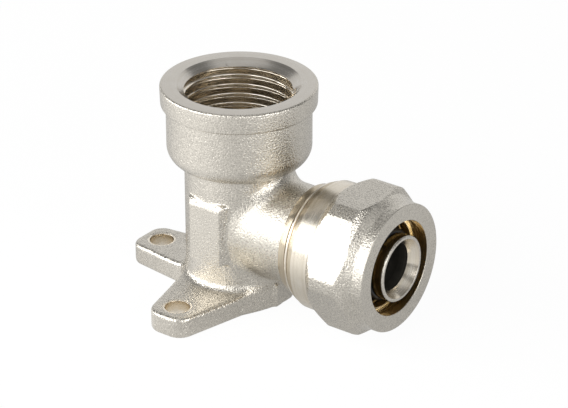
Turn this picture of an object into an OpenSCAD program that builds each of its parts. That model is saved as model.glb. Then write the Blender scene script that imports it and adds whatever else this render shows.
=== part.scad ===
// Wall plate elbow: a brass elbow that screws to a wall. A female threaded
// socket stands on a three-lug plate, and a compression joint for a
// multilayer pipe points sideways. Millimetres. The origin is on the wall
// face, on the socket's axis. +Z runs out of the socket, +X along the outlet.

/* [Socket] */
// Height of the socket's mouth above the wall
socket_height = 40; // [37:0.5:70]
// Outer diameter of the bead round the mouth
bead_diameter = 27.4; // [26.4:0.2:34]
// Depth of the bead along the socket
bead_depth = 3.8; // [2:0.1:7]
// Outer diameter of the socket below its bead
socket_diameter = 25.4; // [24:0.2:26]
// Length of the socket from its mouth to its rounded foot
socket_length = 11.3; // [9:0.1:14]
// Radius that rounds the socket into the neck
socket_round = 3.1; // [1.5:0.1:3.1]
// Minor diameter of the pipe thread in the socket, G 1/2
socket_thread_minor = 18.63; // [16:0.01:20]
// Depth of the threaded bore
socket_thread_depth = 13; // [8:0.1:13]
// Diameter of the countersink at the mouth
countersink_diameter = 21.8; // [20.4:0.1:24]
// Depth of the countersink
countersink_depth = 1.2; // [0.5:0.1:3]

/* [Neck and waterway] */
// Outer diameter of the neck between plate and socket
neck_diameter = 19.3; // [17:0.1:19.6]
// Diameter of the upright waterway below the thread
upright_bore = 15; // [10:0.1:15]
// Diameter of the waterway through the outlet
outlet_bore = 8.6; // [6:0.1:9]
// Wall left under the upright waterway
floor_thickness = 8; // [4:0.1:10]

/* [Wall plate] */
// Thickness of the lugs
plate_thickness = 4; // [2.5:0.1:5]
// Distance from the socket's axis to each screw hole
screw_reach = 18; // [16:0.5:24]
// Diameter of each screw hole
screw_hole = 4.4; // [3:0.1:5.5]
// Metal beyond the centre of each hole
lug_end = 4; // [3.6:0.1:6]
// Width of the rear lug at its end
rear_lug_width = 9; // [8:0.1:11]
// Width of each side lug at its end
side_lug_width = 8.6; // [8:0.1:11]
// Width that the rear lug would have at the socket's axis
rear_lug_root = 14; // [10:0.5:18]
// Width that each side lug would have at the socket's axis
side_lug_root = 18; // [12:0.5:19]
// Radius of the corners at the end of a lug
lug_corner = 2.4; // [1:0.1:3.6]
// Radius that fills the corners between the rear lug and the side lugs
web_fillet = 1.6; // [0.6:0.1:2]
// Radius of the fillet between neck and plate
foot_fillet = 1.2; // [0.5:0.1:2.5]

/* [Outlet] */
// Height of the outlet's axis above the wall
outlet_height = 14.6; // [14:0.1:17]
// Diameter of the forged outlet behind the collar
outlet_diameter = 17.8; // [16:0.1:18.6]
// Distance from the socket's axis to the collar
collar_start = 15.6; // [14:0.1:18]
// Length of the turned collar
collar_length = 1.6; // [0.6:0.1:1.8]
// Major diameter of the thread for the nut, M20 x 1.5
nut_thread_major = 19.8; // [19:0.1:20]
// Diameter of the runout groove behind that thread
runout_diameter = 17.8; // [16.4:0.1:18.6]
// Length of the runout groove
runout_length = 1.3; // [0.8:0.1:2.5]
// Length from the collar to the end of the thread
nose_length = 6.3; // [5:0.1:9]
// Length by which the pipe spigot stands out of the nut
spigot_reach = 0.5; // [0:0.1:4]
// Outer diameter of the pipe spigot
spigot_diameter = 11.8; // [11:0.1:12.6]
// Radius of the fillet above the outlet, where it leaves the neck
crotch_fillet = 2.5; // [1:0.1:3]
// Radius of the fillet below the outlet
under_fillet = 1; // [0.5:0.1:2]

/* [Nut] */
// Gap between the collar and the nut's rear face
nut_gap = 0.3; // [0.1:0.1:1]
// Length of the nut's mouth beyond the split ring
nut_lip = 1.9; // [1:0.1:4]
// Size of the nut across its flats
nut_flats = 24; // [23.6:0.1:25]
// Diameter to which the hexagon's corners are rounded off
nut_corners = 26.4; // [25.4:0.1:27]
// Diameter of the smooth skirt at the rear
nut_skirt = 23.2; // [22.4:0.1:23.4]
// Diameter of the front boss
nut_boss = 22.8; // [21:0.1:23]
// Diameter of the nut's mouth
nut_mouth = 16.8; // [16.6:0.1:17.6]
// Angle of the first flat, from the side of the outlet upwards
nut_angle = 28.7; // [0:0.1:60]

/* [Split ring and seals] */
// Bore of the split ring, which takes the pipe
ring_bore = 16; // [15.6:0.1:16.2]
// Outer diameter of the split ring
ring_diameter = 18; // [17.6:0.1:18.2]
// Distance from the end of the thread to the ring's rear end
ring_setback = 0.9; // [0.4:0.1:1.2]
// Length of the split ring
ring_length = 7.7; // [6:0.1:8]
// Width of the ring's slit
ring_slit = 1.6; // [0.5:0.1:3]
// Angle of the ring's slit, from the side of the outlet upwards
slit_angle = 65; // [0:1:360]
// Thickness of each sealing ring
seal_section = 1.55; // [1.2:0.05:1.6]
// Distance from the spigot's end to the middle of the inner seal
inner_seal_back = 7.1; // [5.6:0.1:8]
// Distance from the spigot's end to the middle of the outer seal
outer_seal_back = 3.1; // [3:0.1:3.6]
// Thickness of the insulating washer
washer_thickness = 1.5; // [1:0.1:2]
// Outer diameter of the insulating washer
washer_diameter = 15.6; // [13:0.1:15.6]

/* [Hidden] */
$fn = 96;
// Clearance between the nut and the ring, and at the mating threads
fit_gap = 0.1;
// Clearance of the washer on the spigot, and of a seal in its groove
seal_gap = 0.03;
// Overrun of every cut past the face that it opens
cut = 1;
// Depth by which blended pieces reach into each other
sink = 0.08;
// How far a straight edge runs inside the arc that it meets
arc_sink = 0.02;
// Small chamfer on turned edges
turned_edge = 0.3;
// Play between a seal and the sides of its groove
groove_play = 0.2;
// Wall left under a seal groove
groove_wall = 0.5;
// Bare pads pressed into both sides of the neck
pad_width = 6.8;
pad_height = 11;
pad_bottom = 9.4;
pad_relief = 0.35;
// Funnel at the end of the spigot
funnel_depth = 1.8;
funnel_diameter = 9.2;
funnel_mouth = 9.7;
spigot_edge = 0.2;
// Step from the thread down to the upright waterway
thread_step = 1;
// Angle of the drill point at the foot of the upright waterway
drill_angle = 118;
// Radii that round the bead's upper and lower edge
rim_round = 0.4;
bead_round = 1;
// Chamfer at the upper end of each screw hole
hole_edge = 0.25;
// Rounded off foot of the neck at the wall
foot_round = 0.6;
// Sections round the outlet's foot and steps across the computed fillet, the
// share of a step by which the first section is turned, and how far the
// fillet reaches into the metal behind its corner
blend_steps = 40;
blend_arc = 6;
blend_phase_share = 0.37;
blend_root = 0.9;

neck_r = neck_diameter / 2;
socket_r = socket_diameter / 2;
bead_r = bead_diameter / 2;
outlet_r = outlet_diameter / 2;
thread_r = nut_thread_major / 2;
spigot_r = spigot_diameter / 2;
bore_r = outlet_bore / 2;
round_foot = socket_height - socket_length;
collar_end = collar_start + collar_length;
nose_end = collar_end + nose_length;
nut_start = collar_end + nut_gap;
ring_start = nose_end + ring_setback;
ring_end = ring_start + ring_length;
nut_end = ring_end + nut_lip;
nut_length = nut_end - nut_start;
spigot_end = nut_end + spigot_reach;
inner_seal_at = spigot_end - inner_seal_back;
outer_seal_at = spigot_end - outer_seal_back;
groove_r = bore_r + groove_wall;
seal_r = groove_r + seal_gap + seal_section / 2;
ring_r = ring_diameter / 2;
ring_bore_r = ring_bore / 2;
mouth_r = nut_mouth / 2;

// The hexagon's chamfers as shares of the nut's length
skirt_share = 0.327;
corner_start_share = 0.424;
corner_end_share = 0.727;
waist_share = 0.779;
boss_share = 0.879;
rear_edge_share = 0.055;
// Where the ring's taper starts, as a share of its length
ring_taper_share = 0.55;
// Wall left at the thin end of the ring, as a share of its full wall
ring_tip_share = 0.3;
// Places and depth of the gripping grooves in the ring's bore
grip_place_share = [0.14, 0.33, 0.52, 0.62, 0.81];
grip_width_share = 0.05;
grip_depth_share = 0.22;

// Turns what stands along +Z into the outlet's axis
module along_outlet() {
    translate([0, 0, outlet_height]) rotate([0, 90, 0]) children();
}

// A turned piece on the outlet's axis, from points of distance and radius
module turned(points) {
    along_outlet() rotate_extrude()
        polygon([for (p = points) [p[1], p[0]]]);
}

// Point where a line from p touches the circle of radius r round c, on the
// side away from the lug's axis
function touch(p, c, r) =
    let (dx = c[0] - p[0], dy = c[1] - p[1], d = norm([dx, dy]),
         a = atan2(dy, dx) + asin(r / d), l = sqrt(d * d - r * r))
    [p[0] + l * cos(a), p[1] + l * sin(a)];

// Middle of the rounded corner at the end of a lug that points along +X
function lug_middle(width) =
    [screw_reach + lug_end - lug_corner, width / 2 - lug_corner];

// Outline of a lug that points along +X from the socket's axis
module lug_outline(root, width) {
    tip = screw_reach + lug_end;
    corner = lug_middle(width);
    side = touch([0, root / 2], corner, lug_corner - arc_sink);
    end = tip - arc_sink;
    polygon([[0, root / 2], side, corner, [end, corner[1]],
             [end, -corner[1]], [corner[0], -corner[1]], [side[0], -side[1]],
             [0, -root / 2]]);
    for (s = [-1, 1]) translate([corner[0], s * corner[1]])
        circle(lug_corner);
}

// Slope at which the edge of a lug leaves its root
function lug_slope(root, width) =
    let (t = touch([0, root / 2], lug_middle(width), lug_corner - arc_sink))
    (t[1] - root / 2) / t[0];

// Fills the corner between the rear lug, on +X here, and the side lug on +Y,
// with an arc that touches the straight edges of both
module web_outline() {
    mr = lug_slope(rear_lug_root, rear_lug_width);
    ms = lug_slope(side_lug_root, side_lug_width);
    nr = sqrt(1 + mr * mr);
    ns = sqrt(1 + ms * ms);
    off = web_fillet - arc_sink;
    rear = rear_lug_root / 2 + off * nr;
    side = side_lug_root / 2 + off * ns;
    foot = web_fillet + sink;
    x = (side + ms * rear) / (1 - ms * mr);
    y = rear + mr * x;
    difference() {
        polygon([[0, 0], [x + foot * mr / nr, y - foot / nr], [x, y],
                 [x - foot / ns, y + foot * ms / ns]]);
        translate([x, y]) circle(web_fillet);
    }
}

// Outline of the whole plate
module plate_outline() {
    rotate(180) lug_outline(rear_lug_root, rear_lug_width);
    for (s = [90, 270]) rotate(s) lug_outline(side_lug_root, side_lug_width);
    rotate(180) web_outline();
    mirror([1, 0]) web_outline();
}

// Profile of the neck, the socket and the bead, as radius and height
module upright_profile() {
    translate([0, foot_round]) square([neck_r, round_foot]);
    square([neck_r - foot_round, foot_round + sink]);
    intersection() {
        translate([neck_r - foot_round, foot_round]) circle(foot_round);
        square([neck_r, foot_round + sink]);
    }
    translate([0, round_foot])
        square([socket_r, socket_length - rim_round]);
    translate([socket_r - socket_round, round_foot]) circle(socket_round);
    translate([0, round_foot - socket_round])
        square([socket_r - socket_round, socket_round]);
    bead_foot = socket_height - bead_depth;
    translate([0, bead_foot]) square([bead_r - bead_round, bead_depth]);
    translate([bead_r - bead_round, bead_foot + bead_round])
        circle(bead_round);
    translate([0, bead_foot + bead_round])
        square([bead_r, bead_depth - bead_round - rim_round]);
    translate([bead_r - rim_round, socket_height - rim_round])
        circle(rim_round);
    translate([0, socket_height - 2 * rim_round])
        square([bead_r - rim_round, 2 * rim_round]);
}

// Concave fillet where the neck meets the plate
module foot_profile() {
    difference() {
        translate([neck_r - sink, plate_thickness - sink])
            square([foot_fillet + sink, foot_fillet + sink]);
        translate([neck_r + foot_fillet, plate_thickness + foot_fillet])
            circle(foot_fillet);
    }
}

// Radius of the ball that rolls in the corner between neck and outlet, at the
// angle t from the top of the outlet
function ball_r(t) = (crotch_fillet * (1 + cos(t)) + under_fillet * (1 - cos(t))) / 2;

// Points of one section of the fillet that the ball leaves: one inside the
// metal, then the arc from the neck to the outlet
function blend_section(t) =
    let (r = ball_r(t), y = (outlet_r + r) * sin(t),
         z = (outlet_r + r) * cos(t), x = sqrt(pow(neck_r + r, 2) - y * y),
         kn = neck_r / (neck_r + r), ko = outlet_r / (outlet_r + r),
         c = [x, y, z], u = ([x * kn, y * kn, z] - c) / r,
         v = ([x, y * ko, z * ko] - c) / r, w = acos(u * v),
         k_in = 1 - blend_root / outlet_r)
    concat([[x * kn * k_in, y * min(kn, ko) * k_in, z * ko * k_in]],
        [for (i = [0:blend_arc])
            let (k = i / blend_arc, end = i == 0 || i == blend_arc)
            c + (u * sin(w * (1 - k)) + v * sin(w * k)) / sin(w)
                * (r + (end ? sink : 0))]);

// The whole fillet, a closed band round the foot of the outlet
module blend() {
    rows = [for (j = [0:blend_steps - 1])
        blend_section(360 * (j + blend_phase_share) / blend_steps)];
    n = blend_arc + 2;
    points = [for (row = rows) for (p = row) p + [0, 0, outlet_height]];
    polyhedron(points, [for (j = [0:blend_steps - 1]) for (i = [0:n - 1])
        let (a = j * n + i, b = j * n + (i + 1) % n,
             c = ((j + 1) % blend_steps) * n)
        each [[a, b, c + (i + 1) % n], [a, c + (i + 1) % n, c + i]]]);
}

// Outlet, collar, thread for the nut and pipe spigot with its grooves
module outlet_solid() {
    turned([[0, 0], [0, outlet_r], [collar_start, outlet_r],
            [collar_start, thread_r], [collar_end - turned_edge, thread_r],
            [collar_end, thread_r - turned_edge],
            [collar_end, runout_diameter / 2],
            [collar_end + runout_length, runout_diameter / 2],
            [collar_end + runout_length + turned_edge, thread_r],
            [nose_end - turned_edge, thread_r],
            [nose_end, thread_r - turned_edge], [nose_end, spigot_r],
            [spigot_end - spigot_edge, spigot_r],
            [spigot_end, spigot_r - spigot_edge], [spigot_end, 0]]);
}

module seal_groove(at) {
    half = seal_section / 2 + groove_play;
    turned([[at - half, groove_r], [at - half, spigot_r + cut],
            [at + half, spigot_r + cut], [at + half, groove_r]]);
}

// Waterway, thread bore, funnel and screw holes
module body_cuts() {
    thread_minor_r = socket_thread_minor / 2;
    upright_r = upright_bore / 2;
    point = upright_r / tan(drill_angle / 2);
    rotate_extrude() polygon([
        [0, floor_thickness], [upright_r, floor_thickness + point],
        [upright_r, socket_height - socket_thread_depth - thread_step],
        [thread_minor_r, socket_height - socket_thread_depth],
        [thread_minor_r, socket_height - countersink_depth],
        [countersink_diameter / 2, socket_height],
        [countersink_diameter / 2, socket_height + cut],
        [0, socket_height + cut]]);
    turned([[0, 0], [0, bore_r], [spigot_end - funnel_depth, bore_r],
            [spigot_end - funnel_depth, funnel_diameter / 2],
            [spigot_end, funnel_mouth / 2], [spigot_end + cut, funnel_mouth / 2],
            [spigot_end + cut, 0]]);
    hole_r = screw_hole / 2;
    for (a = [90, 180, 270]) rotate(a) translate([screw_reach, 0, 0])
        rotate_extrude() polygon([
            [0, -cut], [hole_r, -cut], [hole_r, plate_thickness - hole_edge],
            [hole_r + hole_edge, plate_thickness],
            [hole_r + hole_edge, plate_thickness + cut],
            [0, plate_thickness + cut]]);
}

module elbow_body() {
    color([0.74, 0.72, 0.68]) difference() {
        union() {
            rotate_extrude() upright_profile();
            linear_extrude(plate_thickness) plate_outline();
            intersection() {
                rotate_extrude() foot_profile();
                linear_extrude(plate_thickness + foot_fillet) plate_outline();
            }
            outlet_solid();
            blend();
            for (s = [0, 180]) rotate(s)
                translate([-pad_width / 2, -neck_r - pad_relief, pad_bottom])
                    cube([pad_width, neck_r / 2, pad_height]);
        }
        body_cuts();
        seal_groove(inner_seal_at);
        seal_groove(outer_seal_at);
    }
}

module compression_nut() {
    skirt_r = nut_skirt / 2;
    boss_r = nut_boss / 2;
    corner_r = nut_corners / 2;
    flat_r = nut_flats / 2;
    room_r = ring_r + fit_gap;
    step_at = ring_start - fit_gap;
    taper_at = ring_start + ring_length * ring_taper_share;
    tip_r = ring_bore_r + (ring_r - ring_bore_r) * ring_tip_share + fit_gap;
    color([0.76, 0.74, 0.7]) difference() {
        intersection() {
            turned([[nut_start, 0], [nut_start, skirt_r - 2 * turned_edge],
                [nut_start + nut_length * rear_edge_share, skirt_r - sink],
                [nut_start + nut_length * skirt_share, skirt_r],
                [nut_start + nut_length * corner_start_share, corner_r],
                [nut_start + nut_length * corner_end_share, corner_r],
                [nut_start + nut_length * waist_share, flat_r],
                [nut_start + nut_length * boss_share, boss_r],
                [nut_end - turned_edge / 2, boss_r],
                [nut_end, boss_r - turned_edge / 2], [nut_end, 0]]);
            along_outlet() rotate(-nut_angle) translate([0, 0, nut_start - cut])
                cylinder(r = flat_r / cos(30), h = nut_length + 2 * cut, $fn = 6);
        }
        turned([[nut_start - cut, 0],
            [nut_start - cut, thread_r + fit_gap + turned_edge],
            [nut_start, thread_r + fit_gap + turned_edge],
            [nut_start + turned_edge, thread_r + fit_gap],
            [nose_end - fit_gap, thread_r + fit_gap],
            [step_at, room_r], [taper_at, room_r],
            [ring_end, tip_r], [ring_end + fit_gap, mouth_r],
            [nut_end - turned_edge / 2, mouth_r],
            [nut_end, mouth_r + turned_edge / 2],
            [nut_end + cut, mouth_r + turned_edge / 2], [nut_end + cut, 0]]);
    }
}

module split_ring() {
    wall = ring_r - ring_bore_r;
    tip_r = ring_bore_r + wall * ring_tip_share;
    grip_r = ring_bore_r + wall * grip_depth_share;
    grip = ring_length * grip_width_share;
    color([0.78, 0.62, 0.3]) difference() {
        turned(concat(
            [[ring_start, ring_r - turned_edge / 2],
             [ring_start + turned_edge / 2, ring_r],
             [ring_start + ring_length * ring_taper_share, ring_r],
             [ring_end, tip_r], [ring_end, ring_bore_r]],
            [for (i = [len(grip_place_share) - 1:-1:0])
                let (at = ring_start + ring_length * grip_place_share[i])
                each [[at + grip / 2, ring_bore_r], [at, grip_r],
                      [at - grip / 2, ring_bore_r]]],
            [[ring_start, ring_bore_r]]));
        along_outlet() rotate(-slit_angle - 90)
            translate([0, -ring_slit / 2, ring_start - cut])
            cube([ring_diameter, ring_slit, ring_length + 2 * cut]);
    }
}

module seal(at) {
    color([0.07, 0.07, 0.075]) along_outlet() translate([0, 0, at])
        rotate_extrude() translate([seal_r, 0]) circle(d = seal_section);
}

module o_ring_inner() { seal(inner_seal_at); }

module o_ring_outer() { seal(outer_seal_at); }

module insulating_washer() {
    washer_r = washer_diameter / 2;
    color([0.09, 0.09, 0.1]) turned([
        [nose_end, spigot_r + seal_gap], [nose_end, washer_r],
        [nose_end + washer_thickness, washer_r],
        [nose_end + washer_thickness, spigot_r + seal_gap]]);
}

elbow_body();
compression_nut();
split_ring();
o_ring_inner();
o_ring_outer();
insulating_washer();
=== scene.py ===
"""Looks of the wall plate elbow, built over its fixed frame.

Lengths in this file are millimetres in the part's own frame, with +Z out of
the wall along the socket's axis and +X along the outlet. They become metres
where a mesh is filled.
"""

import itertools
import math

import bpy
import numpy as np
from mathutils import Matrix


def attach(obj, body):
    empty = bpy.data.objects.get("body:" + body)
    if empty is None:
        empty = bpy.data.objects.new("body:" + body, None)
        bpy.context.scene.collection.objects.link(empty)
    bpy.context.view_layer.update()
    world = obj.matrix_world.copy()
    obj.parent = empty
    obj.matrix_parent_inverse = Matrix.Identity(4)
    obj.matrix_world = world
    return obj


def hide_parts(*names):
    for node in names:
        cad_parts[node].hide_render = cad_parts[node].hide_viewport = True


bl_info = {
    "name": "Wall plate elbow",
    "version": (1, 0, 0),
    "blender": (4, 5, 0),
    "location": "3D View > Sidebar > Elbow",
    "description": "Builds a nickel-plated wall plate elbow with its compression nut",
    "category": "Add Mesh",
}

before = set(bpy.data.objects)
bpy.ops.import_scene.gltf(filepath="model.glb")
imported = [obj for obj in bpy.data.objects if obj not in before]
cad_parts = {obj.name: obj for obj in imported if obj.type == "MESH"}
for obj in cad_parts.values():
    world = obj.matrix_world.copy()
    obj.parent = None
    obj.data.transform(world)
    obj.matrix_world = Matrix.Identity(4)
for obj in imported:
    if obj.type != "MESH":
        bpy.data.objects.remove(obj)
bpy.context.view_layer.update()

MM = 0.001
TAU = 2 * math.pi
OUTLET_Z = 14.6
LUG_HOLES = {"rear": (-18.0, 0.0), "far": (0.0, 18.0), "side": (0.0, -18.0)}
# The hexagon's turn from -Y, and the angle between its flats
HEX_TURN, SIXTH = math.radians(28.7), TAU / 6
# The G 1/2 thread in the socket and the M20 thread under the nut
PIPE_PITCH, PIPE_ROOT_R, PIPE_DEPTH = 1.814, 10.4775, 1.162
NUT_PITCH = 1.5
# Seals and their grooves along the outlet
SEAL_PLACES = (31.4, 27.4)
# The split ring: its gripping grooves, the turn and half width of its slit, and
# the number of teeth on its step
GRIP_PLACES = (29.0, 27.9, 26.8, 25.6)
SLIT_TURN, SLIT_HALF = math.radians(65), math.asin(0.8 / 8.5)
TEETH = 120

# Each lamp: azimuth from -Y towards +X and height in degrees, distance and
# size in metres, and level, where 1 is as bright as the white background
LAMPS = (
    ("left", (-60, 14), 0.6, (0.28, 0.28), 5.6),
    ("front", (-15, 26), 0.6, (0.58, 0.53), 2.5),
    ("right", (74, 15), 0.6, (0.5, 0.28), 3.6),
    ("back", (206, 21), 0.6, (1.3, 0.5), 0.62),
    ("top", (36, 83), 0.6, (0.6, 0.6), 0.42),
    ("near", (38, 25), 0.6, (0.3, 0.3), 0.25),
)
LAMP_AIM = (0.005, 0, 0.018)
SKY_LEVEL, SKY_SHINE = 0.08, 0.2
# The floor's own grey, its glow, the share of the glow in a direct view, the
# share in a mirrored view, and what two painted pools of light (direction,
# level) add to it
FLOOR_GREY, FLOOR_GLOW, FLOOR_SEEN, FLOOR_SHINE = 0.35, 1.2, 0.79, 0.42
FLOOR_PAINTED_POOLS = (((0.98, -0.17, 0.0), 0.18), ((-0.574, -0.819, 0.0), 0.54))
# Where painted shade darkens the mirrored floor towards the object: metres,
# and the share left
FLOOR_PAINTED_SHADE = {"From Min": 0.025, "From Max": 0.075, "To Min": 0.58, "To Max": 1.0}
CAMERA_PLACE = (0.24907, -0.32345, 0.2231)
CAMERA_TURN = (63.16, 0.0, 36.51)
CAMERA_LENS = 164.77


# Sizes and colours that a user would change

class FittingSizes(bpy.types.PropertyGroup):
    """Sizes of the fitting's looks, in metres."""

    grid_step: bpy.props.FloatProperty(
        name="Forging grid", description="Spacing of the grid behind the forged skin",
        default=0.29 * MM, unit="LENGTH")
    crotch_fillet: bpy.props.FloatProperty(
        name="Upper fillet", description="Fillet between neck and outlet, on top",
        default=2.5 * MM, unit="LENGTH")
    under_fillet: bpy.props.FloatProperty(
        name="Lower fillet", description="Fillet between neck and outlet, underneath",
        default=1.0 * MM, unit="LENGTH")
    lug_edge: bpy.props.FloatProperty(
        name="Lug edge", description="Radius that rounds the edges of the lugs",
        default=0.7 * MM, unit="LENGTH")


class FittingFinish(bpy.types.PropertyGroup):
    """Colours of the fitting's finishes."""

    nickel: bpy.props.FloatVectorProperty(
        name="Nickel", description="Colour of the nickel plating", subtype="COLOR",
        size=3, default=(0.69, 0.652, 0.582), min=0, max=1)
    brass: bpy.props.FloatVectorProperty(
        name="Brass", description="Colour of the bare brass", subtype="COLOR",
        size=3, default=(0.74, 0.55, 0.27), min=0, max=1)
    rubber: bpy.props.FloatVectorProperty(
        name="Rubber", description="Colour of the seals", subtype="COLOR",
        size=3, default=(0.012, 0.013, 0.015), min=0, max=1)


# Mesh making

def fill_mesh(name, points, quads, body, nodes, crease=38):
    """Object named name from points in millimetres and quads of their numbers.

    The volume that the quads enclose is the sum of a . (b x c) / 6 over their
    triangles. Where it comes out negative the quads are turned over.
    """
    p = np.asarray(points, float).reshape(-1, 3)
    q = np.asarray(quads, np.int64).reshape(-1, 4)
    a, b, c, d = (p[q[:, i]] for i in range(4))
    volume = np.einsum("ij,ij->", a, np.cross(b, c)) + np.einsum(
        "ij,ij->", a, np.cross(c, d))
    if volume < 0:
        q = q[:, ::-1]
    mesh = bpy.data.meshes.new(name)
    mesh.vertices.add(len(p))
    mesh.vertices.foreach_set("co", (p * MM).astype(np.float32).ravel())
    mesh.loops.add(4 * len(q))
    mesh.loops.foreach_set("vertex_index", q.astype(np.int32).ravel())
    mesh.polygons.add(len(q))
    mesh.polygons.foreach_set("loop_start", np.arange(0, 4 * len(q), 4, dtype=np.int32))
    mesh.update(calc_edges=True)
    mesh.validate()
    mesh.shade_smooth()
    mesh.set_sharp_from_angle(angle=math.radians(crease))
    obj = bpy.data.objects.new(name, mesh)
    bpy.context.scene.collection.objects.link(obj)
    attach(obj, body)
    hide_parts(*nodes)
    return obj


def ring_quads(rows, cols):
    """Quads of a grid of rows by cols points that closes on itself both ways."""
    i, j = np.meshgrid(np.arange(rows), np.arange(cols), indexing="ij")
    i2, j2 = (i + 1) % rows, (j + 1) % cols
    return np.stack([i * cols + j, i2 * cols + j, i2 * cols + j2, i * cols + j2],
                    -1).reshape(-1, 4)


def upright(z, r, angle):
    """Points at height z and radius r round the socket's axis:
    (r cos a, r sin a, z)."""
    z, r, angle = np.broadcast_arrays(z, r, angle)
    return np.stack([r * np.cos(angle), r * np.sin(angle), z], -1)


def sideways(x, r, angle):
    """Points at distance x and radius r round the outlet's axis, the angle
    counted from -Y upwards: (x, -r cos a, 14.6 + r sin a)."""
    x, r, angle = np.broadcast_arrays(x, r, angle)
    return np.stack([x, -r * np.cos(angle), OUTLET_Z + r * np.sin(angle)], -1)


def off_outlet(y, z):
    """Distance from the outlet's axis."""
    return np.hypot(y, z - OUTLET_Z)


def round_angles(count, start=0.0):
    """The angles of count equal steps round a circle."""
    return start + np.arange(count) * TAU / count


def rounded(corners, arc=5):
    """Closed outline through corners of (along, radius, rounding).

    Each corner with a rounding k is replaced by an arc of radius k that
    touches both sides: it starts k / tan(half the angle) before the corner.
    """
    pts = np.array([c[:2] for c in corners], float)
    out = []
    for i, (*_, k) in enumerate(corners):
        here, before, after = pts[i], pts[i - 1], pts[(i + 1) % len(pts)]
        u, v = before - here, after - here
        lu, lv = np.hypot(*u), np.hypot(*v)
        if k <= 0 or lu < 1e-9 or lv < 1e-9:
            out.append(here[None])
            continue
        u, v = u / lu, v / lv
        half = math.acos(max(-1, min(1, float(u @ v)))) / 2
        if half > math.pi / 2 - 0.02 or half < 0.02:
            out.append(here[None])
            continue
        run = min(k / math.tan(half), 0.49 * lu, 0.49 * lv)
        k = run * math.tan(half)
        middle = here + (u + v) / np.hypot(*(u + v)) * k / math.sin(half)
        a, b = here + u * run - middle, here + v * run - middle
        t = np.linspace(0, 1, arc + 1)[:, None]
        w = math.pi - 2 * half
        out.append(middle + (a * np.sin(w * (1 - t)) + b * np.sin(w * t)) / math.sin(w))
    return np.concatenate(out)


def resample(outline, step, inner=0):
    """The closed outline with every side longer than step cut into equal parts,
    apart from sides that lie within the radius inner."""
    nxt = np.roll(outline, -1, axis=0)
    out = []
    for a, b in zip(outline, nxt):
        n = 1 if max(a[1], b[1]) < inner else max(1, int(np.hypot(*(b - a)) / step))
        t = np.arange(n)[:, None] / n
        out.append(a + (b - a) * t)
    return np.concatenate(out)


def stacked(parts, angle):
    """Places along the axis and radii of a lathe grid's rows, from parts that
    are either outlines of (along, radius) or pairs of the places along the
    axis and the radius at every angle."""
    rows = [(p[:, 0], p[:, 1:] + 0 * angle) if isinstance(p, np.ndarray) else p
            for p in parts]
    return np.concatenate([a for a, _ in rows])[:, None], np.concatenate([r for _, r in rows])


def turned(name, outline, segments, node_name):
    """A closed outline of (along, radius) carried round the outlet's axis, on
    the fitting's body."""
    points = sideways(outline[:, :1], outline[:, 1:], round_angles(segments)[None])
    return fill_mesh(name, points, ring_quads(len(outline), segments), "fitting",
                     [node_name])


# The forged skin

def join(a, b, r):
    """Union of two distance fields with a concave fillet of radius r:
    max(r, min(a, b)) - hypot(max(r - a, 0), max(r - b, 0))."""
    return np.maximum(r, np.minimum(a, b)) - np.hypot(
        np.maximum(r - a, 0), np.maximum(r - b, 0))


def trim(a, b, r):
    """Intersection of two distance fields with an edge rounded by r:
    min(-r, max(a, b)) + hypot(max(r + a, 0), max(r + b, 0))."""
    return np.minimum(-r, np.maximum(a, b)) + np.hypot(
        np.maximum(r + a, 0), np.maximum(r + b, 0))


def lug_field(along, across, root, slope, tip=22.0, corner=2.4):
    """Distance in plan to a lug that points along its first coordinate, with
    edges at across = root - slope * along and a rounded end at tip."""
    edge = (np.abs(across) - (root - slope * along)) / math.hypot(1, slope)
    return np.maximum(trim(edge, along - tip, corner), -along - 2)


def forging_field(x, y, z, sizes):
    """Signed distance to the forged body, negative in the metal.

    Cylinders for neck and outlet, a plate of three lugs in plan and the
    rounded socket are joined with fillets, and a pad with sloping sides stands
    on either side of the neck. The waterway is cut out.
    """
    rho = np.hypot(x, y)
    rear = lug_field(-x, y, 7.0, 0.129)
    left = lug_field(-y, x, 9.05, 0.245)
    right = lug_field(y, x, 9.05, 0.245)
    plan = join(rear, np.minimum(left, right), 1.7)
    rise = 0.35 * np.clip((14.5 - rho) / 4.5, 0, 1) ** 2
    plate = trim(plan, np.maximum(z - 4 - rise, -z), sizes["lug_edge"])
    neck = trim(rho - 9.65, -z, 0.6)
    body = join(neck, plate, 1.25)
    socket = trim(rho - 12.7, 25.6 - z, 3.1)
    body = join(body, socket, 0.45)
    side = off_outlet(y, z)
    outlet = np.maximum(side - 8.9, -x)
    up = (z - OUTLET_Z) / np.maximum(side, 1e-6)
    fillet = sizes["under_fillet"] + (
        sizes["crotch_fillet"] - sizes["under_fillet"]) * np.maximum(up, 0) ** 2
    body = join(body, outlet, fillet)
    face = np.abs(y) - 10.25
    sides = (np.abs(x) - 3.25 + 0.7 * face) / 1.22
    ends = np.maximum(np.maximum((z - 19.95 + 1.3 * face) / 1.64, z - 20.9), 9.4 - z)
    body = join(body, trim(trim(sides, ends, 0.1), face, 0.12), 0.2)
    for hx, hy in LUG_HOLES.values():
        body = trim(body, 2.42 - np.hypot(x - hx, y - hy), 0.1)
    point = 1 / math.tan(math.radians(59))
    shaft = np.maximum(rho - 7.5, (8 + rho * point - z) / math.hypot(1, point))
    cross = np.maximum(side - 4.3, -x)
    water = np.minimum(np.minimum(shaft, cross), np.maximum(rho - 11.0, 26.2 - z))
    body = trim(body, -water, 0.1)
    return np.maximum(np.maximum(body, -z), np.maximum(z - 36.3, x - 15.75))


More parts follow.
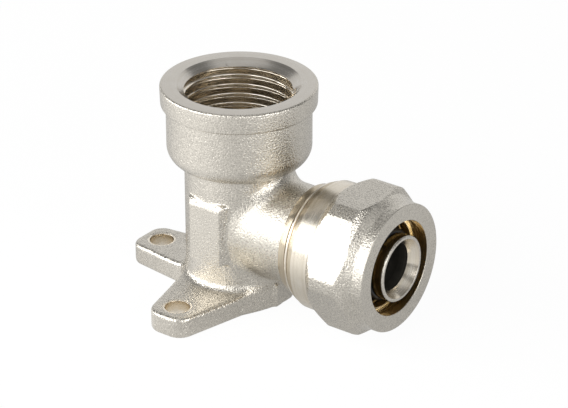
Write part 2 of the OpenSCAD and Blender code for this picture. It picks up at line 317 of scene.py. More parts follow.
def field_skin(field, low, high, step):
    """Surface where field is zero: one point in each cell of a regular grid
    that the surface crosses, at the mean of the crossings on the cell's edges,
    then moved along the field's gradient until the field is zero there. Four
    such points round each crossed grid edge make a quad."""
    axes = [np.arange(a, b + step, step) for a, b in zip(low, high)]
    grid = np.meshgrid(*axes, indexing="ij", sparse=True)
    value = np.broadcast_to(field(*grid), [len(a) for a in axes]).copy()
    inside = value < 0
    size = np.array(value.shape)
    corners = np.array(list(itertools.product((0, 1), repeat=3)))
    count = sum(inside[c[0]:size[0] - 1 + c[0], c[1]:size[1] - 1 + c[1],
                       c[2]:size[2] - 1 + c[2]].astype(np.int8) for c in corners)
    active = (count > 0) & (count < 8)
    number = np.full(active.shape, -1, np.int64)
    number[active] = np.arange(active.sum())
    cell = np.argwhere(active)
    at = [value[tuple((cell + c).T)] for c in corners]
    total = np.zeros((len(cell), 3))
    hits = np.zeros(len(cell))
    for i, j in itertools.combinations(range(8), 2):
        if np.abs(corners[i] - corners[j]).sum() != 1:
            continue
        crossed = (at[i] < 0) != (at[j] < 0)
        t = np.where(crossed, at[i] / np.where(crossed, at[i] - at[j], 1), 0)
        total += crossed[:, None] * (corners[i] + t[:, None] * (corners[j] - corners[i]))
        hits += crossed
    p = np.array(low) + (cell + total / hits[:, None]) * step
    eps = 0.01
    for _ in range(5):
        f = field(*p.T)
        g = np.stack([(field(*(p + d).T) - field(*(p - d).T)) / (2 * eps)
                      for d in np.eye(3) * eps], -1)
        move = f / np.maximum((g * g).sum(1), 0.25)
        p = p - np.clip(move, -step, step)[:, None] * g
    quads = []
    for d in range(3):
        u, v = (d + 1) % 3, (d + 2) % 3
        first = np.take(inside, np.arange(size[d] - 1), axis=d)
        second = np.take(inside, np.arange(1, size[d]), axis=d)
        i = np.argwhere(first != second)
        keep = (i[:, u] > 0) & (i[:, u] < size[u] - 1) & (i[:, v] > 0) & (
            i[:, v] < size[v] - 1)
        i = i[keep]
        four = []
        for du, dv in ((1, 1), (0, 1), (0, 0), (1, 0)):
            j = i.copy()
            j[:, u] -= du
            j[:, v] -= dv
            four.append(number[tuple(j.T)])
        q = np.stack(four, -1)
        outward = first[tuple(i.T)]
        quads.append(np.where(outward[:, None], q, q[:, ::-1]))
    return p, np.concatenate(quads)


# Threads

def ridge(phase, flat, crest):
    """Height of a thread, 0 at the root and 1 at the crest, over one pitch of
    phase: straight flanks between a root flat and a crest flat, eased by a
    smooth step."""
    tri = 1 - np.abs((phase % 1.0) * 2 - 1)
    h = np.clip((tri - flat) / (1 - flat - crest), 0, 1)
    return h + 0.12 * (h * h * (3 - 2 * h) - h)


def pipe_thread_radius(z, angle):
    """Radius of the socket's G 1/2 thread: the root's radius less the ridge."""
    phase = z / PIPE_PITCH - angle / TAU + 0.35
    return PIPE_ROOT_R - PIPE_DEPTH * ridge(phase, 1 / 6, 1 / 6)


def nut_thread_radius(x, angle, inside):
    """Radius of the M20 x 1.5 thread on the outlet, or in the nut where inside
    is set."""
    h = ridge(x / NUT_PITCH - angle / TAU, 0.25, 0.125)
    return 10.0 - 0.8 * h if inside else 9.0 + 0.88 * h


# Finishes

def new_group(name, scale, outputs):
    """An empty shader node group with a vector input, a float input named scale
    and float outputs."""
    group = bpy.data.node_groups.new(name, "ShaderNodeTree")
    group.interface.new_socket(name="Vector", in_out="INPUT",
                               socket_type="NodeSocketVector")
    group.interface.new_socket(name=scale, in_out="INPUT",
                               socket_type="NodeSocketFloat").default_value = 1.0
    for label in outputs:
        group.interface.new_socket(name=label, in_out="OUTPUT",
                                   socket_type="NodeSocketFloat")
    return group, group.nodes.new("NodeGroupInput"), group.nodes.new("NodeGroupOutput")


def node(tree, kind, links, **values):
    """Adds a node of a kind to tree, sets its attributes and wires its inputs
    from pairs of input and value or socket."""
    n = tree.nodes.new(kind)
    for key, value in values.items():
        setattr(n, key, value)
    for key, value in links.items():
        if isinstance(value, bpy.types.NodeSocket):
            tree.links.new(value, n.inputs[key])
        else:
            n.inputs[key].default_value = value
    return n


def math_node(tree, operation, *values, clamp=False):
    """The output of a Math node."""
    n = node(tree, "ShaderNodeMath", dict(enumerate(values)), operation=operation)
    n.use_clamp = clamp
    return n.outputs[0]


def blasted_group():
    """Shot-blasted skin: peened dimples a quarter of a millimetre across, finer
    grain between them and a slow unevenness of the forging below. Height is for
    a bump, Mottle is a grey between 0 and 1."""
    group, gin, gout = new_group("Blasted skin", "Grain", ["Height", "Mottle"])
    place = gin.outputs["Vector"]
    size = math_node(group, "MULTIPLY", gin.outputs["Grain"], 3900.0)
    peened = node(group, "ShaderNodeTexNoise",
                  {"Vector": place, "Scale": size, "Detail": 1.0, "Roughness": 0.5})
    dimple = node(group, "ShaderNodeTexVoronoi",
                  {"Vector": place, "Scale": math_node(group, "MULTIPLY", size, 0.8)},
                  feature="SMOOTH_F1")
    dimple.inputs["Smoothness"].default_value = 0.5
    slow = node(group, "ShaderNodeTexNoise", {"Vector": place, "Scale": 420.0, "Detail": 3.0})
    height = math_node(group, "ADD", peened.outputs["Fac"],
                       math_node(group, "MULTIPLY", dimple.outputs["Distance"], 0.45))
    height = math_node(group, "ADD", height,
                       math_node(group, "MULTIPLY", slow.outputs["Fac"], 0.5))
    group.links.new(height, gout.inputs["Height"])
    mottle = math_node(group, "ADD", math_node(group, "MULTIPLY", peened.outputs["Fac"], 0.88),
                       math_node(group, "MULTIPLY", slow.outputs["Fac"], 0.12))
    group.links.new(mottle, gout.inputs["Mottle"])
    return group


def lathe_group():
    """Marks that a turning tool leaves: rings of changing depth, counted by
    the sum of the distance from the axis and the distance along it. Vector is
    centred on the axis, with the axis along Z."""
    group, gin, gout = new_group("Lathe marks", "Lines", ["Height", "Mottle"])
    split = node(group, "ShaderNodeSeparateXYZ", {0: gin.outputs["Vector"]})
    x, y, z = split.outputs
    rho = math_node(group, "SQRT", math_node(
        group, "ADD", math_node(group, "MULTIPLY", x, x), math_node(group, "MULTIPLY", y, y)))
    path = math_node(group, "ADD", rho, z)
    rings = node(group, "ShaderNodeTexNoise",
                 {"W": math_node(group, "MULTIPLY", path, gin.outputs["Lines"]),
                  "Scale": 9000.0, "Detail": 2.0}, noise_dimensions="1D")
    wide = node(group, "ShaderNodeTexNoise",
                {"W": path, "Scale": 900.0, "Detail": 1.0}, noise_dimensions="1D")
    around = node(group, "ShaderNodeTexNoise",
                  {"Vector": gin.outputs["Vector"], "Scale": 350.0, "Detail": 2.0})
    group.links.new(rings.outputs["Fac"], gout.inputs["Height"])
    tone = math_node(group, "ADD", math_node(group, "MULTIPLY", rings.outputs["Fac"], 0.4),
                     math_node(group, "MULTIPLY", wide.outputs["Fac"], 0.35))
    tone = math_node(group, "ADD", tone,
                     math_node(group, "MULTIPLY", around.outputs["Fac"], 0.25))
    group.links.new(tone, gout.inputs["Mottle"])
    return group


GROUPS = {}


def shared(name):
    """The node group called name, built once."""
    if name not in GROUPS:
        GROUPS[name] = {"blasted": blasted_group, "lathe": lathe_group}[name]()
    return GROUPS[name]


def metal(name, colour, dark, rough, pattern, axis, grain, depth):
    """A metal finish: colour between dark and colour by the pattern's mottle,
    roughness between the two values of rough, and a bump of depth
    millimetres from the pattern's height. Lathe marks run round the axis."""
    mat = bpy.data.materials.new(name)
    mat.use_nodes = True
    tree = mat.node_tree
    shader = tree.nodes["Principled BSDF"]
    shader.inputs["Metallic"].default_value = 1.0
    place = node(tree, "ShaderNodeTexCoord", {}).outputs["Object"]
    if pattern == "lathe":
        centre = (0, 0, -OUTLET_Z * MM) if axis == "X" else (0, 0, 0)
        turn = (0, -math.pi / 2, 0) if axis == "X" else (0, 0, 0)
        moved = node(tree, "ShaderNodeMapping", {"Vector": place, "Location": centre})
        place = node(tree, "ShaderNodeMapping",
                     {"Vector": moved.outputs[0], "Rotation": turn}).outputs[0]
    effect = node(tree, "ShaderNodeGroup", {}, node_tree=shared(pattern))
    tree.links.new(place, effect.inputs["Vector"])
    effect.inputs[1].default_value = grain
    tone = effect.outputs["Mottle"]
    spread = node(tree, "ShaderNodeMapRange", {"Value": tone, "From Min": 0.3, "From Max": 0.7})
    ramp = node(tree, "ShaderNodeMix", {"Factor": spread.outputs[0]}, data_type="RGBA")
    ramp.inputs["A"].default_value = (*dark, 1)
    ramp.inputs["B"].default_value = (*colour, 1)
    tree.links.new(ramp.outputs["Result"], shader.inputs["Base Color"])
    roughness = node(tree, "ShaderNodeMapRange",
                     {"Value": tone, "From Min": 0.3, "From Max": 0.7,
                      "To Min": rough[0], "To Max": rough[1]})
    tree.links.new(roughness.outputs[0], shader.inputs["Roughness"])
    bump = node(tree, "ShaderNodeBump", {"Height": effect.outputs["Height"],
                                         "Strength": 1.0, "Distance": depth * MM})
    tree.links.new(bump.outputs[0], shader.inputs["Normal"])
    return mat


def soft_black(name, colour, rough, grain):
    """Rubber or moulded plastic: a dark colour with faint mottling and a fine
    moulded bump."""
    mat = bpy.data.materials.new(name)
    mat.use_nodes = True
    tree = mat.node_tree
    shader = tree.nodes["Principled BSDF"]
    place = node(tree, "ShaderNodeTexCoord", {}).outputs["Object"]
    effect = node(tree, "ShaderNodeGroup", {}, node_tree=shared("blasted"))
    tree.links.new(place, effect.inputs["Vector"])
    effect.inputs[1].default_value = grain
    ramp = node(tree, "ShaderNodeMix", {"Factor": effect.outputs["Mottle"]}, data_type="RGBA")
    ramp.inputs["A"].default_value = (*[0.6 * c for c in colour], 1)
    ramp.inputs["B"].default_value = (*[1.5 * c for c in colour], 1)
    tree.links.new(ramp.outputs["Result"], shader.inputs["Base Color"])
    roughness = node(tree, "ShaderNodeMapRange",
                     {"Value": effect.outputs["Mottle"], "To Min": rough - 0.08,
                      "To Max": rough + 0.08})
    tree.links.new(roughness.outputs[0], shader.inputs["Roughness"])
    bump = node(tree, "ShaderNodeBump", {"Height": effect.outputs["Height"],
                                         "Strength": 1.0, "Distance": 0.004 * MM})
    tree.links.new(bump.outputs[0], shader.inputs["Normal"])
    return mat


# Each metal finish: the user's colour that it starts from, its light and dark
# tint, the roughness of either, the pattern, the axis that a tool turned
# about, the pattern's scale and the bump's depth in millimetres
METALS = {
    "blasted_nickel": ("nickel", (1.14, 1.14, 1.14), (0.78, 0.78, 0.78), (0.22, 0.34),
                       "blasted", "X", 1.0, 0.088),
    "satin_nickel": ("nickel", (1.026, 1.026, 1.026), (0.733, 0.733, 0.733), (0.24, 0.36),
                     "blasted", "X", 1.15, 0.04),
    # turned nickel lighter than the plain nickel, a painted highlight, with warm dark streaks
    # that are a painted warm reflection
    "turned_nickel": ("nickel", (1.28, 1.28, 1.28), (0.98, 0.92, 0.82), (0.16, 0.3),
                      "lathe", "X", 1.0, 0.006),
    # tan turned finish: its tan is a painted warm reflection, its lathe streaks the metal's own
    "turned_collar": ("nickel", (0.91, 0.86, 0.77), (0.72, 0.64, 0.52), (0.14, 0.26),
                      "lathe", "X", 1.0, 0.004),
    "turned_socket": ("nickel", (0.98, 1.0, 1.04), (0.78, 0.76, 0.75), (0.16, 0.3),
                      "lathe", "Z", 1.0, 0.006),
    # cut nickel lighter than the plain nickel: painted light for the light reflected into
    # threads, bores and holes
    "cut_thread": ("nickel", (1.36, 1.36, 1.36), (1.1, 1.04, 0.96), (0.12, 0.26),
                   "lathe", "Z", 1.0, 0.004),
    # nickel darkened to near black: painted shade in bores and on one flank of the ring's teeth
    "dark_bore": ("nickel", (0.3, 0.3, 0.3), (0.14, 0.14, 0.14), (0.4, 0.6),
                  "lathe", "X", 0.6, 0.01),
    "turned_brass": ("brass", (1.0, 1.0, 1.0), (0.85, 0.85, 0.85), (0.24, 0.36),
                     "lathe", "X", 1.0, 0.003),
    # brass brightened to cream: painted light on the ring's toothed step, deep in the nut's
    # mouth
    "toothed_brass": ("brass", (1.3, 1.6, 2.5), (1.15, 1.4, 2.1), (0.3, 0.44),
                      "lathe", "X", 1.0, 0.004),
}
WASHER_BLACK = (0.02, 0.02, 0.022)
FINISHES = {}


def tint(colour, factors):
    """The colour times the factors, at most 1 in each part."""
    return tuple(min(1.0, c * f) for c, f in zip(colour, factors))


def finish(name):
    """The material called name, built once from the user's colours."""
    if name not in FINISHES:
        colours = bpy.context.scene.fitting_finish
        if name == "seal_rubber":
            made = soft_black(name, tuple(colours.rubber), 0.34, 0.8)
        elif name == "washer_plastic":
            made = soft_black(name, WASHER_BLACK, 0.5, 1.0)
        else:
            base, light, dark, *rest = METALS[name]
            colour = tuple(getattr(colours, base))
            made = metal(name, tint(colour, light), tint(colour, dark), *rest)
        FINISHES[name] = made
    return FINISHES[name]


def dress(obj, *names):
    """Gives obj the named finishes as its material slots."""
    obj.data.materials.clear()
    for name in names:
        obj.data.materials.append(finish(name))


def dress_faces(obj, test, index):
    """Puts the faces whose middle passes test, a function of x, y and z in
    millimetres, on the material slot of that index."""
    mesh = obj.data
    n = len(mesh.polygons)
    middle = np.empty(3 * n, np.float32)
    mesh.polygons.foreach_get("center", middle)
    slots = np.empty(n, np.int32)
    mesh.polygons.foreach_get("material_index", slots)
    x, y, z = middle.reshape(-1, 3).astype(float).T / MM
    slots[test(x, y, z)] = index
    mesh.polygons.foreach_set("material_index", slots)


def soften(obj, test):
    """Takes the sharp mark off every edge whose middle passes test, so that the
    flanks of a thread shade as one smooth surface."""
    mesh = obj.data
    mark = mesh.attributes.get("sharp_edge")
    if mark is None:
        return
    ends = np.empty(2 * len(mesh.edges), np.int32)
    mesh.edges.foreach_get("vertices", ends)
    place = np.empty(3 * len(mesh.vertices), np.float32)
    mesh.vertices.foreach_get("co", place)
    place = place.reshape(-1, 3).astype(float) / MM
    a, b = ends.reshape(-1, 2).T
    sharp = np.empty(len(mesh.edges), bool)
    mark.data.foreach_get("value", sharp)
    sharp &= ~test(*((place[a] + place[b]) / 2).T)
    mark.data.foreach_set("value", sharp)


# Operators

class FITTING_OT_forging(bpy.types.Operator):
    """Builds the forged, shot-blasted skin with its lugs, pads and waterway."""

    bl_idname = "fitting.forging"
    bl_label = "Forged body"

    def execute(self, context):
        user = context.scene.fitting_sizes
        sizes = {k: getattr(user, k) / MM for k in ("crotch_fillet", "under_fillet",
                                                    "lug_edge")}
        step = user.grid_step / MM * 1
        # the grid starts at odd places, so that no flat face lies on its planes
        low, high = (-22.9137, -22.8711, -0.8373), (16.5, 22.9, 37.0)
        points, quads = field_skin(
            lambda x, y, z: forging_field(x, y, z, sizes), low, high, step)
        obj = fill_mesh("forged_skin", points, quads, "fitting",
                        ["elbow_body"], crease=50)
        dress(obj, "blasted_nickel", "cut_thread", "dark_bore")
        # the upright bore takes the lighter cut nickel, painted light
        dress_faces(obj, lambda x, y, z: (np.hypot(x, y) < 7.56) & (z > 5), 1)
        # the cross bore takes the darkened nickel, a painted shade
        dress_faces(obj, lambda x, y, z: (off_outlet(y, z) < 4.36) & (x > 6), 2)
        wall = rounded([(0.02, 2.75, 0), (0.02, 2.3, 0.05), (0.2, 2.2, 0.1),
                        (3.93, 2.2, 0.07), (3.98, 2.36, 0.03), (3.93, 2.75, 0)], 3)
        liner = upright(wall[:, :1], wall[:, 1:], round_angles(64)[None])
        # each hole's liner takes the lighter cut nickel, painted light for the bright floor
        # reflected in it
        for name, (hx, hy) in LUG_HOLES.items():
            points = liner + (hx, hy, 0)
            dress(fill_mesh("screw_hole_" + name, points, ring_quads(len(wall), 64),
                            "fitting", ["elbow_body"]), "cut_thread")
        return {"FINISHED"}


class FITTING_OT_socket(bpy.types.Operator):
    """Builds the socket's bead, turned rim, countersink and pipe thread."""

    bl_idname = "fitting.socket"
    bl_label = "Socket mouth and thread"

    def execute(self, context):
        outer = rounded([
            (36.25, 11.9, 0), (36.25, 12.72, 0), (36.2, 12.72, 0.2), (36.25, 13.62, 0.85),
            (39.0, 13.7, 0), (39.98, 13.7, 0.4), (39.98, 10.95, 0.06), (38.85, 9.55, 0)], 7)
        angle = round_angles(300)
        drop = 38.8 - np.arange(0, 11.81, 0.075)
        cone = 10.9 - (40.0 - drop) * 1.32
        thread = pipe_thread_radius(drop[:, None], angle[None])
        eased = np.clip((drop - 27.0) / 0.8, 0, 1)[:, None]
        inner = np.maximum(9.3 + (thread - 9.3) * eased, cone[:, None])
        tail = np.array([(26.6, 8.8), (26.15, 7.52), (26.0, 7.48), (26.0, 7.9), (26.9, 11.8)])
        z, r = stacked([outer, (drop, inner), tail], angle)
        obj = fill_mesh("socket_mouth", upright(z, r, angle[None]),
                        ring_quads(len(z), len(angle)),
                        "fitting", ["elbow_body"], crease=42)
        dress(obj, "blasted_nickel", "turned_socket", "cut_thread")
        dress_faces(obj, lambda x, y, z: (z > 39.96) | (np.hypot(x, y) < 11.2), 1)
        # the thread and the bore below it take the lighter cut nickel, painted light
        dress_faces(obj, lambda x, y, z: (np.hypot(x, y) < 10.6) & (z < 38.7), 2)
        soften(obj, lambda x, y, z: (np.hypot(x, y) < 10.6) & (z > 27) & (z < 38.6))
        return {"FINISHED"}


class FITTING_OT_outlet(bpy.types.Operator):
    """Builds the turned outlet: collar, threaded nose and pipe spigot."""

    bl_idname = "fitting.outlet"
    bl_label = "Collar, thread and spigot"

    def execute(self, context):
        angle = round_angles(240)
        grooves = []
        for at in SEAL_PLACES:
            grooves += [(at + 0.975, 5.9, 0.06), (at + 0.975, 4.8, 0.1),
                        (at - 0.975, 4.8, 0.1), (at - 0.975, 5.9, 0.06)]
        bore = rounded(
            [(15.5, 6.5, 0), (15.5, 4.32, 0), (32.7, 4.3, 0.1), (34.5, 5.32, 0.08),
             (34.5, 5.9, 0.28)] + grooves + [(23.5, 5.9, 0.1), (23.5, 9.0, 0.3)], 4)
        run = np.arange(23.3, 18.45, -0.07)
        flank = nut_thread_radius(run[:, None], angle[None], False)
        ends = np.clip(np.minimum((23.45 - run) / 0.5, (run - 18.3) / 0.5), 0, 1)[:, None]
        flank = 8.85 + (flank - 8.85) * ends
        tail = rounded([(18.35, 8.7, 0.1), (17.15, 8.7, 0.1), (17.15, 9.55, 0.06),
                        (16.8, 9.88, 0.06), (15.58, 9.88, 0.08), (15.58, 8.0, 0)], 4)
        x, r = stacked([bore, (run, flank), tail], angle)
        obj = fill_mesh("turned_outlet", sideways(x, r, angle[None]),
                        ring_quads(len(x), len(angle)), "fitting",
                        ["elbow_body"])
        # the tan turned finish in the first slot is a painted warm reflection on the thread
        # nose, collar and spigot
        dress(obj, "turned_collar", "satin_nickel", "dark_bore", "turned_nickel")
        dress_faces(obj, lambda x, y, z: (x > 34.1) & (off_outlet(y, z) > 5.3), 1)
        # the spigot's mouth takes the lighter turned nickel, a painted highlight
        dress_faces(obj, lambda x, y, z: (x > 32.8) & (off_outlet(y, z) < 5.3), 3)
        # the bore takes the darkened nickel, a painted shade
        dress_faces(obj, lambda x, y, z: (off_outlet(y, z) < 4.4) & (x < 32.8), 2)
        soften(obj, lambda x, y, z: (off_outlet(y, z) > 8.7) & (x > 18.5) & (x < 23.2))
        return {"FINISHED"}


class FITTING_OT_nut(bpy.types.Operator):
    """Builds the hexagon nut, outside and inside."""

    bl_idname = "fitting.nut"
    bl_label = "Compression nut"

    def execute(self, context):
        shell = [
            (17.52, 10.4, 0), (17.52, 10.7, 0.1), (17.96, 10.78, 0.14),
            (18.02, 10.47, 0.02), (18.28, 10.47, 0.02), (18.4, 11.1, 0.06),
            (19.3, 11.16, 0.03), (19.38, 11.5, 0.06), (22.84, 11.58, 0.12),
            (22.88, 11.95, 0.1), (24.5, 13.2, 0.25), (29.5, 13.2, 0.3),
            (30.4, 12.0, 0.6), (32.0, 11.4, 0.8), (33.98, 11.38, 0.12),
            (33.98, 8.45, 0.12), (33.0, 8.45, 0), (33.0, 9.6, 0), (30.0, 10.6, 0)]
        outline = resample(rounded(shell, 5), 0.16, 10.8)
        count = 504
        angle = round_angles(count, HEX_TURN)
        # distance from the axis to the nearest of the six flats, along each angle
        off = (angle - HEX_TURN + SIXTH / 2) % SIXTH - SIXTH / 2
        flat = 12.0 / np.cos(off)
        r, x = outline[:, 1:], outline[:, :1]
        # the smooth lesser of radius and flat rounds the hexagon's edges a little
        hexed = 0.002 - np.log(np.exp(-24 * r) + np.exp(-24 * flat[None])) / 24
        r = np.where((r > 10.8) & (x > 22), np.minimum(hexed, r), r)
        obj = fill_mesh("nut_shell", sideways(x, r, angle[None]),
                        ring_quads(len(x), count), "nut",
                        ["compression_nut"], crease=45)
        dress(obj, "blasted_nickel", "turned_nickel", "satin_nickel", "turned_brass",
              "turned_collar")
        # the skirt takes the lighter turned nickel, a painted highlight
        dress_faces(obj, lambda x, y, z: x < 22.95, 1)
        # the rear lip takes the tan turned finish, a painted warm reflection
        dress_faces(obj, lambda x, y, z: (x > 18.1) & (x < 19.35), 4)
        dress_faces(obj, lambda x, y, z: x > 33.9, 2)
        dress_faces(obj, lambda x, y, z: (off_outlet(y, z) < 9.9) & (x < 33.9), 3)
        side = round_angles(240)
        run = np.arange(18.0, 23.3, 0.08)
        flank = nut_thread_radius(run[:, None], side[None], True)
        head = rounded([(24.3, 9.1, 0.1), (28.65, 9.1, 0.1), (32.25, 8.42, 0.05),
                        (33.9, 8.44, 0), (33.9, 9.3, 0)], 4)
        ring = np.array([(17.56, 10.34), (17.6, 10.3), (17.9, 10.02)])
        close = np.array([(33.9, 9.5), (29.0, 10.7), (19.8, 10.7), (18.9, 10.42),
                          (17.6, 10.38)])
        x, r = stacked([ring, (run, flank), head, close], side)
        obj = fill_mesh("nut_bore", sideways(x, r, side[None]),
                        ring_quads(len(x), len(side)), "nut",
                        ["compression_nut"])
        dress(obj, "turned_brass")
        soften(obj, lambda x, y, z: (off_outlet(y, z) < 10.3) & (x > 18) & (x < 23.2))
        return {"FINISHED"}


class FITTING_OT_split_ring(bpy.types.Operator):
    """Builds the split brass ring with its gripping grooves and serration."""

    bl_idname = "fitting.split_ring"
    bl_label = "Split ring"

    def execute(self, context):
        grips = []
        for at in GRIP_PLACES:
            grips += [(at + 0.16, 8.0, 0.03), (at, 8.2, 0.03), (at - 0.16, 8.0, 0.03)]
        outline = resample(rounded(
            [(24.42, 8.85, 0.1), (28.6, 9.0, 0.2), (32.08, 8.3, 0.01), (32.08, 8.26, 0.01),
             (31.2, 8.3, 0), (31.0, 8.3, 0), (31.0, 8.25, 0), (31.0, 8.04, 0),
             (31.0, 8.0, 0)]
            + grips + [(24.42, 8.0, 0.1)], 3), 0.5)
        count = 720
        angle = SLIT_TURN + SLIT_HALF + np.arange(count + 1) / count * (TAU - 2 * SLIT_HALF)
        x, r = outline[:, :1], outline[:, 1:]
        # the step in the mouth is cut with fine teeth, a triangle wave round the axis
        teeth = 0.2 * np.abs((angle * TEETH / TAU) % 1 * 2 - 1)
        x = x - ((x > 30.95) & (x < 31.05)) * teeth[None]
        points = sideways(x, r, angle[None])
        rows, cols = len(outline), count + 1
        i, j = np.meshgrid(np.arange(rows), np.arange(count), indexing="ij")
        i2 = (i + 1) % rows
        quads = np.stack([i * cols + j, i2 * cols + j, i2 * cols + j + 1,
                          i * cols + j + 1], -1).reshape(-1, 4)
        # each end is a strip between the ring's inner and outer outline
        caps = []
        for col, turn in ((0, 1), (cols - 1, -1)):
            a, b = 0, rows - 1
            while b - a > 2:
                caps.append([n * cols + col for n in (a, a + 1, b - 1, b)][::turn])
                a, b = a + 1, b - 1
        obj = fill_mesh("brass_ring", points, np.concatenate([quads, caps]), "ring",
                        ["split_ring"], crease=30)
        dress(obj, "turned_brass", "toothed_brass", "dark_bore")
        # the toothed step takes the brightened cream brass, painted light
        dress_faces(obj, lambda x, y, z: (x > 30.75) & (x < 31.01)
                    & (off_outlet(y, z) < 8.4), 1)
        # one flank of every tooth takes the darkened nickel, a painted shade
        dress_faces(obj, lambda x, y, z: (x > 30.75) & (x < 31.01)
                    & (np.abs(off_outlet(y, z) - 8.145) < 0.1)
                    & (np.arctan2(z - OUTLET_Z, -y) * TEETH / TAU % 1 > 0.5), 2)
        return {"FINISHED"}


class FITTING_OT_seals(bpy.types.Operator):
    """Builds both sealing rings and the insulating washer."""

    bl_idname = "fitting.seals"
    bl_label = "Seals and washer"

    def execute(self, context):
        t = round_angles(28)
        for name, at in zip(("outer", "inner"), SEAL_PLACES):
            section = np.stack([at + 0.775 * np.cos(t), 5.605 + 0.775 * np.sin(t)], -1)
            obj = turned("seal_" + name, section, 160, "o_ring_" + name)
            dress(obj, "seal_rubber")
        outline = rounded([(23.5, 5.93, 0.05), (23.5, 7.8, 0.15), (25.0, 7.8, 0.2),
                           (25.0, 5.93, 0.2)], 4)
        obj = turned("washer", outline, 160, "insulating_washer")
        dress(obj, "washer_plastic")
        return {"FINISHED"}


def lamp(name, place, aim, size, power):
    """A soft box at place in metres, facing aim, in white light."""
    light = bpy.data.lights.new(name, "AREA")
    light.shape = "RECTANGLE"
    light.size, light.size_y = size
    light.energy = power
    obj = bpy.data.objects.new(name, light)
    bpy.context.scene.collection.objects.link(obj)
    obj.location = place
    away = np.array(place) - np.array(aim)
    obj.rotation_euler = (math.atan2(math.hypot(away[0], away[1]), away[2]), 0,
                          math.atan2(away[0], -away[1]))


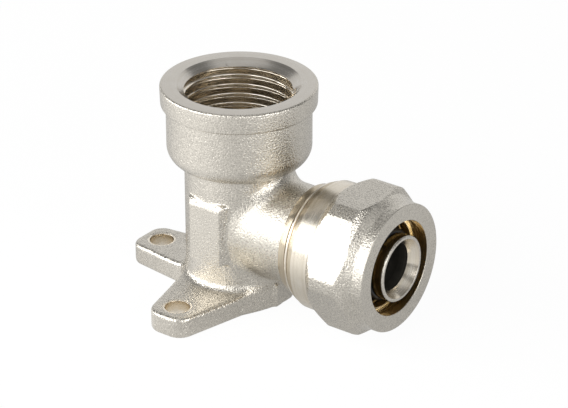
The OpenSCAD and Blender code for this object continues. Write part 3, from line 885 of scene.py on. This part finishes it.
class FITTING_OT_stage(bpy.types.Operator):
    """Builds the floor, the soft studio light and the camera."""

    bl_idname = "fitting.stage"
    bl_label = "Stage"

    def execute(self, context):
        scene = context.scene
        scene.view_settings.view_transform = "Standard"
        mesh = bpy.data.meshes.new("floor")
        mesh.from_pydata([(-3, -3, -1e-5), (3, -3, -1e-5), (3, 3, -1e-5), (-3, 3, -1e-5)],
                         [], [(0, 1, 2, 3)])
        floor = bpy.data.objects.new("floor", mesh)
        scene.collection.objects.link(floor)
        mat = bpy.data.materials.new("pale_floor")
        mat.use_nodes = True
        tree = mat.node_tree
        shader = tree.nodes["Principled BSDF"]
        shader.inputs["Base Color"].default_value = (FLOOR_GREY, FLOOR_GREY, FLOOR_GREY, 1)
        shader.inputs["Roughness"].default_value = 0.9
        shader.inputs["Specular IOR Level"].default_value = 0.0
        glow = node(tree, "ShaderNodeEmission", {"Strength": FLOOR_GLOW})
        seen = node(tree, "ShaderNodeLightPath", {})
        # the glow that a mirror sees is painted lighter towards the lamps, and painted
        # shade darkens it close to the object except on the side where the front lamp stands
        place = node(tree, "ShaderNodeTexCoord", {}).outputs["Object"]
        away = node(tree, "ShaderNodeVectorMath", {0: place}, operation="NORMALIZE")
        bright = FLOOR_SHINE
        far = node(tree, "ShaderNodeVectorMath", {0: place}, operation="LENGTH")
        near = node(tree, "ShaderNodeMapRange",
                    {"Value": far.outputs["Value"], **FLOOR_PAINTED_SHADE}).outputs[0]
        for (towards, level), dimmed in zip(FLOOR_PAINTED_POOLS, (near, 1.0)):
            lobe = node(tree, "ShaderNodeVectorMath", {0: away.outputs[0], 1: towards},
                        operation="DOT_PRODUCT")
            lobe = math_node(tree, "MAXIMUM", lobe.outputs["Value"], 0.0)
            lobe = math_node(tree, "MULTIPLY", math_node(tree, "POWER", lobe, 2.0), level)
            bright = math_node(tree, "ADD", lobe, bright)
            bright = math_node(tree, "MULTIPLY", bright, dimmed)
        share = math_node(tree, "ADD",
                          math_node(tree, "MULTIPLY", seen.outputs["Is Camera Ray"], FLOOR_SEEN),
                          math_node(tree, "MULTIPLY", seen.outputs["Is Glossy Ray"],
                                    bright))
        share = math_node(tree, "ADD", share, math_node(
            tree, "MULTIPLY", seen.outputs["Is Transmission Ray"], FLOOR_SEEN), clamp=True)
        mix = node(tree, "ShaderNodeMixShader", {0: share})
        tree.links.new(shader.outputs[0], mix.inputs[1])
        tree.links.new(glow.outputs[0], mix.inputs[2])
        tree.links.new(mix.outputs[0], tree.nodes["Material Output"].inputs["Surface"])
        mesh.materials.append(mat)

        world = bpy.data.worlds.new("studio")
        scene.world = world
        world.use_nodes = True
        tree = world.node_tree
        back = tree.nodes["Background"]
        back.inputs["Color"].default_value = (1.0, 0.995, 0.985, 1)
        back.inputs["Strength"].default_value = SKY_LEVEL
        white = node(tree, "ShaderNodeBackground", {"Strength": 1.0})
        seen = node(tree, "ShaderNodeLightPath", {})
        share = math_node(tree, "ADD", seen.outputs["Is Camera Ray"], math_node(
            tree, "MULTIPLY", seen.outputs["Is Glossy Ray"], SKY_SHINE), clamp=True)
        share = math_node(tree, "ADD", share, seen.outputs["Is Transmission Ray"], clamp=True)
        mix = node(tree, "ShaderNodeMixShader", {0: share})
        tree.links.new(back.outputs[0], mix.inputs[1])
        tree.links.new(white.outputs[0], mix.inputs[2])
        tree.links.new(mix.outputs[0], tree.nodes["World Output"].inputs["Surface"])

        for name, (azimuth, height), far, size, level in LAMPS:
            # a lamp's radiance is its power over pi times its area
            side, rise = math.radians(azimuth), math.radians(height)
            away = np.array([math.sin(side) * math.cos(rise),
                             -math.cos(side) * math.cos(rise), math.sin(rise)])
            lamp(name, tuple(np.array(LAMP_AIM) + away * far), LAMP_AIM, size,
                 level * math.pi * size[0] * size[1])

        data = bpy.data.cameras.new("camera")
        camera = bpy.data.objects.new("camera", data)
        scene.collection.objects.link(camera)
        scene.camera = camera
        data.sensor_width = 36.0
        data.lens = CAMERA_LENS
        data.clip_start, data.clip_end = 0.01, 20
        camera.location = CAMERA_PLACE
        camera.rotation_euler = tuple(math.radians(turn) for turn in CAMERA_TURN)
        return {"FINISHED"}


class VIEW3D_PT_fitting(bpy.types.Panel):
    """Lists the steps that build the fitting."""

    bl_label = "Wall plate elbow"
    bl_space_type = "VIEW_3D"
    bl_region_type = "UI"
    bl_category = "Elbow"

    def draw(self, context):
        for cls in STEPS:
            self.layout.operator(cls.bl_idname)
        for key in FittingSizes.__annotations__:
            self.layout.prop(context.scene.fitting_sizes, key)
        for key in FittingFinish.__annotations__:
            self.layout.prop(context.scene.fitting_finish, key)


STEPS = (FITTING_OT_stage, FITTING_OT_forging, FITTING_OT_socket, FITTING_OT_outlet,
         FITTING_OT_nut, FITTING_OT_split_ring, FITTING_OT_seals)
CLASSES = (FittingSizes, FittingFinish) + STEPS + (VIEW3D_PT_fitting,)


def register():
    for cls in CLASSES:
        bpy.utils.register_class(cls)
    bpy.types.Scene.fitting_sizes = bpy.props.PointerProperty(type=FittingSizes)
    bpy.types.Scene.fitting_finish = bpy.props.PointerProperty(type=FittingFinish)


def unregister():
    del bpy.types.Scene.fitting_finish
    del bpy.types.Scene.fitting_sizes
    for cls in reversed(CLASSES):
        bpy.utils.unregister_class(cls)


def main():
    """Builds the stage and the pieces in order."""
    register()
    bpy.ops.fitting.stage()
    bpy.ops.fitting.forging()
    bpy.ops.fitting.socket()
    bpy.ops.fitting.outlet()
    bpy.ops.fitting.nut()
    bpy.ops.fitting.split_ring()
    bpy.ops.fitting.seals()


if __name__ == "__main__":
    main()
